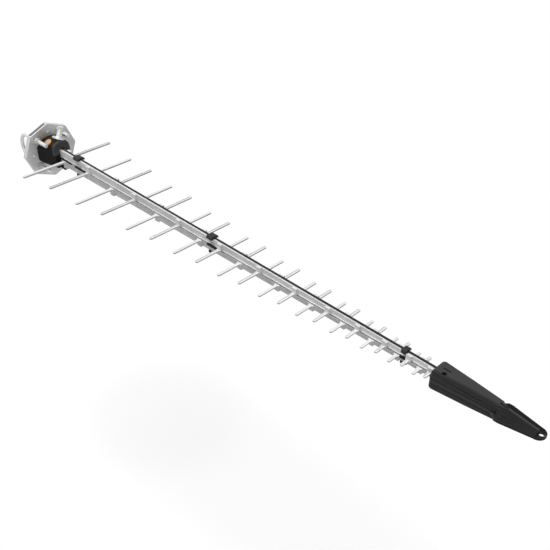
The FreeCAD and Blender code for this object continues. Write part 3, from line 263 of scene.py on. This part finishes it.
class Recipe:
    """Nodes of one material. Coordinates are world metres, as every object sits at the origin."""

    def __init__(self, name):
        self.material = bpy.data.materials.new(name)
        self.material.use_nodes = True
        self.tree = self.material.node_tree
        self.nodes = self.tree.nodes
        self.links = self.tree.links
        self.shader = self.nodes["Principled BSDF"]
        self.place = self.nodes.new("ShaderNodeTexCoord").outputs["Object"]

    def set(self, **values):
        """Sets plain inputs of the shader; an underscore stands for a space."""
        for name, value in values.items():
            self.shader.inputs[name.replace("_", " ")].default_value = value

    def noise(self, scale, detail, stretch=(1.0, 1.0, 1.0)):
        """Noise, stretched along an axis for rolled or brushed grain."""
        mapping = self.nodes.new("ShaderNodeMapping")
        mapping.inputs["Scale"].default_value = stretch
        noise = self.nodes.new("ShaderNodeTexNoise")
        noise.inputs["Scale"].default_value = scale
        noise.inputs["Detail"].default_value = detail
        self.links.new(self.place, mapping.inputs["Vector"])
        self.links.new(mapping.outputs["Vector"], noise.inputs["Vector"])
        return noise.outputs["Fac"]

    def spangle(self, scale):
        """Crystal patches of a galvanised skin."""
        cells = self.nodes.new("ShaderNodeTexVoronoi")
        cells.inputs["Scale"].default_value = scale
        self.links.new(self.place, cells.inputs["Vector"])
        patches = self.nodes.new("ShaderNodeRGBToBW")
        self.links.new(cells.outputs["Color"], patches.inputs["Color"])
        return patches.outputs["Val"]

    def ramp(self, source, low, high, start=0.3, stop=0.7):
        """Colour between low and high, chosen by a noise."""
        ramp = self.nodes.new("ShaderNodeValToRGB")
        for element, place, colour in zip(ramp.color_ramp.elements, (start, stop), (low, high)):
            element.position = place
            element.color = colour + (1.0,)
        self.links.new(source, ramp.inputs["Fac"])
        return ramp.outputs["Color"]

    def span(self, source, start, stop, low=0.0, high=1.0):
        """Number that runs from low to high while the source runs from start to stop."""
        span = self.nodes.new("ShaderNodeMapRange")
        limits = {"From Min": start, "From Max": stop, "To Min": low, "To Max": high}
        for name, value in limits.items():
            span.inputs[name].default_value = value
        self.links.new(source, span.inputs["Value"])
        return span.outputs["Result"]

    def axis(self, name):
        """World coordinate of the point along X, Y or Z."""
        split = self.nodes.new("ShaderNodeSeparateXYZ")
        self.links.new(self.place, split.inputs["Vector"])
        return split.outputs[name]

    def times(self, *masks):
        """Product of masks: one where all of them are one."""
        result = masks[0]
        for mask in masks[1:]:
            result = calculate(self.tree, "MULTIPLY", result, mask)
        return result

    def between(self, axis, low, high, soft):
        """One where a coordinate lies between low and high, with soft ends."""
        place = self.axis(axis)
        return self.times(self.span(place, low, low + soft), self.span(place, high, high - soft))

    def border(self, start, stop):
        """Coordinate of a line that runs along X; each end is a place along X and the coordinate there."""
        return self.span(self.axis("X"), start[0], stop[0], start[1], stop[1])

    def under(self, axis, start, stop, soft=0.0002):
        """One where a coordinate is below a line that runs along X."""
        apart = calculate(self.tree, "SUBTRACT", self.border(start, stop), self.axis(axis))
        return self.span(apart, -soft, soft)

    def line(self, axis, start, stop, half_width):
        """One on a narrow line that runs along X at a changing coordinate."""
        return calculate(self.tree, "COMPARE", self.axis(axis), self.border(start, stop), half_width)

    def mix(self, factor, colour, other):
        """Mixes a plain colour in by a factor."""
        mix = self.nodes.new("ShaderNodeMix")
        mix.data_type = "RGBA"
        mix.inputs["B"].default_value = other + (1.0,)
        self.links.new(factor, mix.inputs["Factor"])
        self.links.new(colour, mix.inputs["A"])
        return mix.outputs["Result"]

    def edge_wear_and_highlight(self, colour, edge, strength, reach=0.0006):
        """Mixes an edge colour in where the surface turns sharply: edge wear, and a painted highlight along
        the edges.
        """
        rounded = self.nodes.new("ShaderNodeBevel")
        rounded.samples = 4
        rounded.inputs["Radius"].default_value = reach
        geometry = self.nodes.new("ShaderNodeNewGeometry")
        turn = self.nodes.new("ShaderNodeVectorMath")
        turn.operation = "DOT_PRODUCT"
        self.links.new(rounded.outputs["Normal"], turn.inputs[0])
        self.links.new(geometry.outputs["Normal"], turn.inputs[1])
        sharp = self.span(turn.outputs["Value"], EDGE_TURN[0], EDGE_TURN[1], 0.0, strength)
        return self.mix(sharp, colour, edge)

    def painted_crevice_shade(self, colour, crevice_shade, reach, strength):
        """Painted shade: mixes a darker tone in where grooves and corners keep the light out."""
        cover = self.nodes.new("ShaderNodeAmbientOcclusion")
        cover.samples = 6
        cover.inputs["Distance"].default_value = reach
        deep = self.span(cover.outputs["AO"], CREVICE_COVER[0], CREVICE_COVER[1], 0.0, strength)
        return self.mix(deep, colour, crevice_shade)

    def colour(self, source):
        """Base colour of the surface."""
        self.links.new(source, self.shader.inputs["Base Color"])

    def roughness(self, source, low, high):
        """Roughness between low and high, chosen by a noise."""
        self.links.new(self.span(source, 0.0, 1.0, low, high), self.shader.inputs["Roughness"])

    def bump(self, source, depth, strength):
        """Raises the surface by a noise, for the light only."""
        bump = self.nodes.new("ShaderNodeBump")
        bump.inputs["Distance"].default_value = depth
        bump.inputs["Strength"].default_value = strength
        self.links.new(source, bump.inputs["Height"])
        self.links.new(bump.outputs["Normal"], self.shader.inputs["Normal"])


def boom_aluminium():
    """Rolled sheet: fine grain along the boom, slightly uneven sheen."""
    recipe = Recipe("boom_aluminium")
    recipe.set(Metallic=0.04, Specular_IOR_Level=0.25)
    grain = recipe.noise(700.0, 3.0, (0.03, 1.0, 1.0))
    cloud = recipe.noise(18.0, 2.0)
    tone = recipe.ramp(cloud, (0.86, 0.865, 0.87), grey(0.93), 0.35, 0.65)
    # Painted shade darkens the colour in the corners and gaps of the sheet
    recipe.colour(recipe.painted_crevice_shade(tone, grey(0.6), 0.0008, 0.4))
    recipe.roughness(grain, 0.46, 0.58)
    recipe.bump(grain, 0.00005, 0.15)
    return recipe.material


def plate_steel():
    """Galvanised sheet with faint crystal patches."""
    recipe = Recipe("plate_steel")
    recipe.set(Metallic=0.35)
    patches = recipe.spangle(170.0)
    cloud = recipe.noise(35.0, 3.0)
    tone = recipe.ramp(cloud, (0.68, 0.69, 0.69), (0.78, 0.785, 0.785), 0.35, 0.65)
    # Painted shade darkens the corners; the edges are paled by wear and by a painted highlight
    tone = recipe.painted_crevice_shade(tone, grey(0.4), 0.003, 0.6)
    recipe.colour(recipe.edge_wear_and_highlight(tone, grey(0.98), 0.8))
    recipe.roughness(patches, 0.36, 0.48)
    recipe.bump(cloud, 0.0003, 0.15)
    return recipe.material


def zinc_steel(name, light, crevice_shade_strength=0.5):
    """Bright zinc with a faint cloudy tone."""
    recipe = Recipe(name)
    recipe.set(Metallic=0.3)
    cloud = recipe.noise(90.0, 3.0)
    dark = tuple(value - 0.06 for value in light)
    crevice_shade = tuple(value * 0.35 for value in light)
    tone = recipe.ramp(cloud, dark, light, 0.35, 0.65)
    # Painted shade: a darker tone of the zinc in corners and grooves
    recipe.colour(recipe.painted_crevice_shade(tone, crevice_shade, 0.002, crevice_shade_strength))
    recipe.roughness(cloud, 0.2, 0.32)
    recipe.bump(cloud, 0.0001, 0.15)
    return recipe.material


def moulded(name, dark, light, edge, matt, gloss, crevice_shade_strength=0.8):
    """Moulded plastic with a fine spark-eroded grain; matt gives the lowest and the highest roughness."""
    recipe = Recipe(name)
    recipe.set(Specular_IOR_Level=gloss)
    grain = recipe.noise(1400.0, 2.0)
    cloud = recipe.noise(30.0, 3.0)
    crevice_shade = tuple(value * 0.3 for value in dark)
    # Painted shade in the corners and grooves, and pale edges from wear and a painted highlight
    tone = recipe.painted_crevice_shade(recipe.ramp(cloud, dark, light), crevice_shade, 0.0025, crevice_shade_strength)
    recipe.colour(recipe.edge_wear_and_highlight(tone, edge, 0.6))
    recipe.roughness(cloud, matt[0], matt[1])
    recipe.bump(grain, 0.00008, 0.2)
    return recipe.material


def housing_plastic():
    """Dark grey moulding; its near slope and nose are duller as painted shade, except along the nose's
    ridge, its near flank is paler as painted light with dark grooves of painted shade, and the flat beside
    the nose on the far side is nearly black as a painted shadow.
    """
    recipe = Recipe("grey_plastic")
    recipe.set(Specular_IOR_Level=0.08)
    grain = recipe.noise(1400.0, 2.0)
    cloud = recipe.noise(30.0, 3.0)
    tone = recipe.ramp(cloud, (0.052, 0.053, 0.052), (0.06, 0.061, 0.06))
    # Painted shade: the near slope of the top is darker
    tone = recipe.mix(recipe.under("Y", SLOPE_START, SLOPE_STOP), tone, grey(0.034))
    # Painted light: the near flank is paler than the rest of the moulding
    side = recipe.times(recipe.between("Y", -0.03, -0.008, 0.0005), recipe.between("X", 1.0, 1.1, 0.003))
    flank = recipe.times(side, recipe.under("Z", FLANK_START, FLANK_STOP))
    tone = recipe.mix(flank, tone, grey(0.075))
    # Painted shade: dark lines along the grooves of the near flank
    for start, stop in GROOVE_LINES:
        groove = recipe.times(side, recipe.line("Z", start, stop, GROOVE_HALF))
        tone = recipe.mix(groove, tone, grey(0.03))
    # Painted shade on the near half of the nose, except along its ridge, which keeps about the plain tone
    nose = recipe.between("X", 1.104, 1.2, 0.008)
    near = recipe.times(nose, recipe.between("Y", -0.03, 0.0012, 0.0006))
    tone = recipe.mix(near, tone, grey(0.016))
    ridge = recipe.times(nose, recipe.between("Y", -0.0022, 0.0012, 0.0003))
    tone = recipe.mix(ridge, tone, grey(0.055))
    # Painted shade in the corners and grooves, and pale edges from wear and a painted highlight
    tone = recipe.painted_crevice_shade(tone, grey(0.008), 0.003, 0.95)
    tone = recipe.edge_wear_and_highlight(tone, grey(0.085), 0.5)
    # Painted shadow: the flat beside the nose on the far side is nearly black
    flat = recipe.times(
        recipe.between("X", 1.098, 1.2, 0.004),
        recipe.between("Y", 0.0026, 0.04, 0.0012),
        recipe.between("Z", -0.006, 0.0012, 0.0006),
    )
    recipe.colour(recipe.mix(flat, tone, grey(0.006)))
    recipe.roughness(cloud, 0.5, 0.62)
    recipe.bump(grain, 0.00008, 0.2)
    return recipe.material


def bracket_plastic():
    """Black moulding of the bracket; the pad under its level and its nose are a shade lighter, as painted
    light.
    """
    recipe = Recipe("bracket_plastic")
    recipe.set(Specular_IOR_Level=0.05)
    grain = recipe.noise(1400.0, 2.0)
    cloud = recipe.noise(30.0, 3.0)
    tone = recipe.ramp(cloud, grey(0.019), grey(0.025))
    # Painted light: the top under the level is lighter than the front
    pad = recipe.times(recipe.between("X", 0.04, 0.2, 0.002), recipe.between("Z", 0.0225, 0.06, 0.0015))
    tone = recipe.mix(pad, tone, grey(0.038))
    # Painted light: the nose is paler still
    nose = recipe.times(recipe.between("X", 0.0755, 0.2, 0.003), recipe.between("Z", 0.004, 0.06, 0.003))
    tone = recipe.mix(nose, tone, grey(0.1))
    # Painted shade in the corners, and pale edges from wear and a painted highlight
    tone = recipe.painted_crevice_shade(tone, grey(0.008), 0.002, 0.6)
    recipe.colour(recipe.edge_wear_and_highlight(tone, grey(0.13), 0.8, 0.0009))
    recipe.roughness(cloud, 0.42, 0.55)
    recipe.bump(grain, 0.00008, 0.2)
    return recipe.material


def black_cable():
    """Cable jacket with fine drawn grain along it."""
    recipe = Recipe("black_cable")
    recipe.set(Specular_IOR_Level=0.25)
    grain = recipe.noise(500.0, 2.0, (0.1, 1.0, 1.0))
    recipe.colour(recipe.ramp(grain, grey(0.008), grey(0.016)))
    recipe.roughness(grain, 0.45, 0.6)
    recipe.bump(grain, 0.00005, 0.2)
    return recipe.material


def clear_vial():
    """Pale tinted vial."""
    recipe = Recipe("clear_vial")
    recipe.set(IOR=1.45)
    cloud = recipe.noise(260.0, 2.0)
    recipe.colour(recipe.ramp(cloud, (0.47, 0.5, 0.6), (0.6, 0.62, 0.67), 0.35, 0.6))
    recipe.roughness(cloud, 0.06, 0.15)
    recipe.bump(cloud, 0.0002, 0.15)
    return recipe.material


def plated_socket():
    """Plated metal with fine turned rings."""
    recipe = Recipe("plated_socket")
    recipe.set(Metallic=0.8)
    rings = recipe.nodes.new("ShaderNodeTexWave")
    rings.bands_direction = "Z"
    rings.inputs["Scale"].default_value = 250.0
    recipe.links.new(recipe.place, rings.inputs["Vector"])
    cloud = recipe.noise(150.0, 2.0)
    recipe.colour(recipe.ramp(cloud, (0.62, 0.61, 0.58), (0.74, 0.73, 0.7)))
    recipe.roughness(cloud, 0.2, 0.3)
    recipe.bump(rings.outputs["Fac"], 0.0004, 0.5)
    return recipe.material


def paint_nodes(zinc, rod, bright, black, orange, vial, aluminium):
    """Every node of the frame gets its material by name."""
    housing = housing_plastic()
    screw = moulded(
        "dark_screw",
        dark=grey(0.008),
        light=grey(0.012),
        edge=grey(0.05),
        matt=(0.35, 0.45),
        gloss=0.3,
    )
    chosen = {
        "upper_boom": aluminium,
        "lower_boom": aluminium,
        "feed_cable": black_cable(),
        "mount_plate": plate_steel(),
        "bracket_rivets": zinc,
        "mast_saddle": zinc,
        "u_bolt_near": rod,
        "u_bolt_far": rod,
        "u_bolt_washers": zinc,
        "u_bolt_nuts": zinc,
        "bracket_housing": bracket_plastic(),
        "level_ring": orange,
        "level_vial": vial,
        "angle_pointer": orange,
        "index_washer": bright,
        "index_sleeve": bright,
        "index_bolt": zinc,
        "coax_socket": plated_socket(),
        "front_housing_upper": housing,
        "front_housing_lower": housing,
        "housing_screw": screw,
    }
    for name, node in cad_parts.items():
        material = chosen.get(name, black)
        if not node.material_slots:
            node.data.materials.append(material)
        for slot in node.material_slots:
            slot.material = material


def show_mesh(mesh, material, smooth=False):
    """Mesh in world metres as a piece of its own name, which rides with the antenna."""
    mesh.materials.append(material)
    if smooth:
        mesh.shade_smooth()
    piece = bpy.data.objects.new(mesh.name, mesh)
    scene.collection.objects.link(piece)
    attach(piece, "root")
    return piece


def add_piece(name, points, faces, material, smooth=False):
    """Piece from points and faces."""
    mesh = bpy.data.meshes.new(name)
    mesh.from_pydata(points, [], faces)
    mesh.update()
    return show_mesh(mesh, material, smooth)


def add_built(name, bm, material):
    """Piece from a mesh that was being built."""
    mesh = bpy.data.meshes.new(name)
    bm.to_mesh(mesh)
    bm.free()
    return show_mesh(mesh, material)


def turns(count):
    """Equal steps round a full turn."""
    return [2 * math.pi * index / count for index in range(count)]


def ring_point(seat, reach, turn, height):
    """Point round the axis of a placement."""
    return tuple(seat @ Vector((reach * math.cos(turn), reach * math.sin(turn), height)))


def band_faces(rings, around):
    """Faces between rings of points that lie one above another."""
    faces = []
    for start in range(0, (rings - 1) * around, around):
        for index in range(around):
            beside = (index + 1) % around
            faces.append((start + index, start + beside, start + around + beside, start + around + index))
    return faces


def hoop_faces(around, across):
    """Faces of a closed hoop: across points in each section, and around sections."""
    faces = []
    for index in range(around):
        here = index * across
        after = (index + 1) % around * across
        for step in range(across):
            beside = (step + 1) % across
            faces.append((here + step, after + step, after + beside, here + beside))
    return faces


def add_stack(name, rings, material):
    """Piece through rings of points that lie one above another, capped at both ends."""
    around = len(rings[0])
    points = [point for ring in rings for point in ring]
    faces = [tuple(reversed(range(around))), tuple(range(len(points) - around, len(points)))]
    return add_piece(name, points, faces + band_faces(len(rings), around), material)


def rod_thread(name, side, up, tip, material):
    """Helical thread ridge on one leg of a U-bolt."""
    sides = 20
    valley_radius = ROD_RADIUS - THREAD_SINK
    crest_radius = ROD_RADIUS + THREAD_DEPTH
    steps = int((tip - THREAD_START) / THREAD_PITCH * sides)
    points = []
    for step in range(steps + 1):
        turn = 2 * math.pi * step / sides
        x = THREAD_START + THREAD_PITCH * step / sides
        for shift, radius in ((-THREAD_PITCH / 2, valley_radius), (0.0, crest_radius)):
            points.append((x + shift, side + radius * math.cos(turn), up + radius * math.sin(turn)))
    faces = []
    for valley in range(0, 2 * steps, 2):
        faces.append((valley, valley + 2, valley + 3, valley + 1))
        after = valley + 2 * sides
        if after + 2 < len(points):
            faces.append((valley + 1, valley + 3, after + 2, after))
    add_piece(name, points, faces, material, smooth=True)


def rod_threads(material):
    """Threads on the four legs of the two U-bolts."""
    for name, side, tip in THREAD_TIPS:
        for place, up in (("top", ROD_SPREAD), ("bottom", -ROD_SPREAD)):
            rod_thread("thread_%s_%s" % (name, place), side, up, tip, material)


def bevelled_box(bm, size, spot, bevel):
    """Adds a small bevelled block, square to the plate's rim, to a mesh being built."""
    made = bmesh.ops.create_cube(bm, size=1.0)
    verts = made["verts"]
    bmesh.ops.scale(bm, vec=size, verts=verts)
    edges = list({edge for vert in verts for edge in vert.link_edges})
    result = bmesh.ops.bevel(bm, geom=edges, offset=bevel, segments=1, affect="EDGES")
    new_corners = {vert for face in result["faces"] for vert in face.verts}
    kept_corners = {vert for vert in verts if vert.is_valid}
    matrix = Matrix.Translation(spot) @ Matrix.Rotation(CORNER_TURN / 2, 4, "X")
    bmesh.ops.transform(bm, matrix=matrix, verts=list(new_corners | kept_corners))


def rim_ribs(material):
    """Fine ribs on the clamp plate's rim, on a thin strip that backs them; both are dark grey as painted
    shade of the rim.
    """
    first = Vector((0.0, 0.0, PLATE_CORNER))
    last = Vector((0.0, -math.sin(CORNER_TURN), math.cos(CORNER_TURN))) * PLATE_CORNER
    along = last - first
    normal = Vector((0.0, -math.sin(CORNER_TURN / 2), math.cos(CORNER_TURN / 2)))
    rim = Vector((RIB_MIDDLE_X, 0.0, -PLATE_DROP))
    bm = bmesh.new()
    for index in range(RIB_COUNT):
        share = RIB_MARGIN + (1 - 2 * RIB_MARGIN) * index / (RIB_COUNT - 1)
        bevelled_box(bm, RIB_SIZE, first + along * share + rim + normal * RIB_LIFT, bevel=0.0002)
    backing = (0.0076, along.length * 0.9, 0.0004)
    bevelled_box(bm, backing, (first + last) / 2 + rim, bevel=0.0001)
    add_built("rim_ribs", bm, material)


def clip_saddle(number, length, scale, material):
    """Arched clip that straddles the cable, in place of the plain cap."""
    low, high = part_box("cable_clip_%d" % number)
    middle = (low[0] + high[0]) / 2 + CLIP_SHIFT
    crown = low[2] + CLIP_SKIRT
    room = CABLE_RADIUS + CABLE_ROOM
    half_width = 0.0086
    end_sink = 0.0004
    outside = [(-0.0084, -0.0012), (-0.0084, 0.0022), (-0.006, 0.004), (-0.003, 0.0049)]
    inside = [(0.0074, 0.0), (0.0074, -0.0012)]
    groove = [(room, 0.0), (room, CABLE_RADIUS)]
    for step in range(5, 0, -1):
        turn = math.pi * step / 6
        groove.append((-room * math.cos(turn), CABLE_RADIUS + room * math.sin(turn)))
    groove += [(-room, CABLE_RADIUS), (-room, 0.0)]
    outline = outside + [(-y, z) for y, z in reversed(outside)]
    outline += inside[::-1] + groove + [(-y, z) for y, z in inside]
    rings = []
    for shift, sink in ((-0.5, end_sink), (-0.46, 0.0), (0.46, 0.0), (0.5, end_sink)):
        ring = []
        for y, z in outline:
            share = (scale if abs(y) > room else 1.0) * (1 - sink / half_width)
            ring.append((middle + shift * length, y * share, crown + (z - sink if z > 0 else z)))
        rings.append(ring)
    piece = add_stack("clip_saddle_%d" % number, rings, material)
    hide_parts("cable_clip_%d" % number)


def clip_foot(number, radius, material):
    """Broad round foot of the clip's post under the lower boom."""
    low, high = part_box("clip_button_%d" % number)
    seat = Matrix.Translation(((low[0] + high[0]) / 2, 0.0, high[2] - 0.0004))
    profile = ((0.0025, -0.0034), (radius - 0.0008, -0.003), (radius, -0.0022), (radius, 0.0))
    rings = [[ring_point(seat, reach, turn, height) for turn in turns(36)] for reach, height in profile]
    piece = add_stack("clip_foot_%d" % number, rings, material)
    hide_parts("clip_button_%d" % number)


def cable_clips(material):
    """Three clips with their feet."""
    for number, length, scale, radius in CLIP_SIZES:
        clip_saddle(number, length, scale, material)
        clip_foot(number, radius, material)


def strip_beds(boom, up, material):
    """Raised beds that make the trays in the dipole strips shallow, as the pressed sheet is."""
    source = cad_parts[boom].data
    level_enough = 0.99
    bed_slack = 0.0002
    chosen = []
    for face in source.polygons:
        if face.normal.z * up > level_enough and abs(face.center.y) > CROWN_LIMIT:
            chosen.append(face)
    bed = min(face.center.z * up for face in chosen)
    bm = bmesh.new()
    corners = {}
    for face in chosen:
        if face.center.z * up < bed + bed_slack:
            for index in face.vertices:
                if index not in corners:
                    corners[index] = bm.verts.new(source.vertices[index].co)
            bm.faces.new([corners[index] for index in face.vertices])
    raised = bmesh.ops.extrude_face_region(bm, geom=list(bm.faces))
    for item in raised["geom"]:
        if isinstance(item, bmesh.types.BMVert):
            taper = 1 - (item.co.x - FIRST_DIPOLE_X) / SECTION_RUN
            item.co.z += up * BED_RISE * taper
    add_built("strip_beds_" + boom, bm, material)


def level_seat():
    """Placement of the level's middle, square to its tilted face."""
    low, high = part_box("level_ring")
    middle = (Vector(low) + Vector(high)) / 2
    return Matrix.Translation(middle) @ Matrix.Rotation(LEVEL_TILT, 4, "X")


def level_bezel(seat, material):
    """Scalloped ring round the vial."""
    around = 96
    profile = (
        (0.0, LEVEL_FOOT),
        (0.0, 0.0007),
        (-0.0005, 0.0012),
        (-0.0018, 0.0012),
        (-RING_WIDTH, 0.0007),
        (-RING_WIDTH, LEVEL_FOOT),
    )
    points = []
    for turn in turns(around):
        lobe = LOBE_DEPTH * math.cos(LEVEL_LOBES * turn)
        for shift, height in profile:
            reach = LEVEL_RADIUS + shift + lobe * (1 + shift / RING_WIDTH)
            points.append(ring_point(seat, reach, turn, height))
    faces = hoop_faces(around, len(profile))
    piece = add_piece("level_bezel", points, faces, material)
    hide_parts("level_ring")


def level_dome(seat, material):
    """Shallow dome of the vial inside the ring, over a short round body."""
    around = 40
    steps = 7
    points = [ring_point(seat, DOME_RADIUS, turn, LEVEL_FOOT) for turn in turns(around)]
    for step in range(steps):
        rise = step / steps * math.pi / 2
        reach = DOME_RADIUS * math.cos(rise)
        height = DOME_BASE + DOME_HEIGHT * math.sin(rise)
        points += [ring_point(seat, reach, turn, height) for turn in turns(around)]
    top = len(points)
    points.append(ring_point(seat, 0.0, 0.0, DOME_BASE + DOME_HEIGHT))
    faces = [tuple(reversed(range(around)))] + band_faces(steps + 1, around)
    for index in range(around):
        faces.append((steps * around + index, steps * around + (index + 1) % around, top))
    piece = add_piece("level_dome", points, faces, material, smooth=True)
    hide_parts("level_vial")


def level_mark(seat, material):
    """Thin mark ring on the dome."""
    around = 32
    across = 6
    points = []
    for turn in turns(around):
        for roll in turns(across):
            reach = MARK_RADIUS + MARK_WALL * math.cos(roll)
            points.append(ring_point(seat, reach, turn, MARK_LIFT + MARK_WALL * math.sin(roll)))
    add_piece("level_mark", points, hoop_faces(around, across), material, smooth=True)


make_camera()
make_lamp("key", KEY_FROM, KEY_LEVEL)
make_lamp("fill", FILL_FROM, FILL_LEVEL)
make_world()
make_floor()

zinc = zinc_steel("zinc_steel", (0.8, 0.8, 0.79))
rod = zinc_steel("zinc_rod", (0.95, 0.95, 0.94))
bright = zinc_steel("bright_zinc", (0.97, 0.97, 0.96), 0.15)
# Dark grey steel for the rim's ribs and their backing strip: painted shade of the rim
rib_painted_shade = zinc_steel("rib_steel_painted_shade", grey(0.24))
black = moulded(
    "black_plastic",
    dark=grey(0.02),
    light=grey(0.027),
    edge=grey(0.07),
    matt=(0.42, 0.55),
    gloss=0.05,
)
clip = moulded(
    "clip_plastic",
    dark=grey(0.034),
    light=grey(0.042),
    edge=grey(0.09),
    matt=(0.45, 0.55),
    gloss=0.1,
)
orange = moulded(
    "orange_plastic",
    dark=(0.95, 0.38, 0.01),
    light=(1.0, 0.44, 0.015),
    edge=(1.0, 0.48, 0.03),
    matt=(0.3, 0.4),
    gloss=0.2,
    crevice_shade_strength=0.3,
)
vial = clear_vial()
aluminium = boom_aluminium()
paint_nodes(zinc, rod, bright, black, orange, vial, aluminium)

rod_threads(rod)
rim_ribs(rib_painted_shade)
cable_clips(clip)
strip_beds("upper_boom", 1, aluminium)
strip_beds("lower_boom", -1, aluminium)
seat = level_seat()
level_bezel(seat, orange)
level_dome(seat, vial)
level_mark(seat, black)
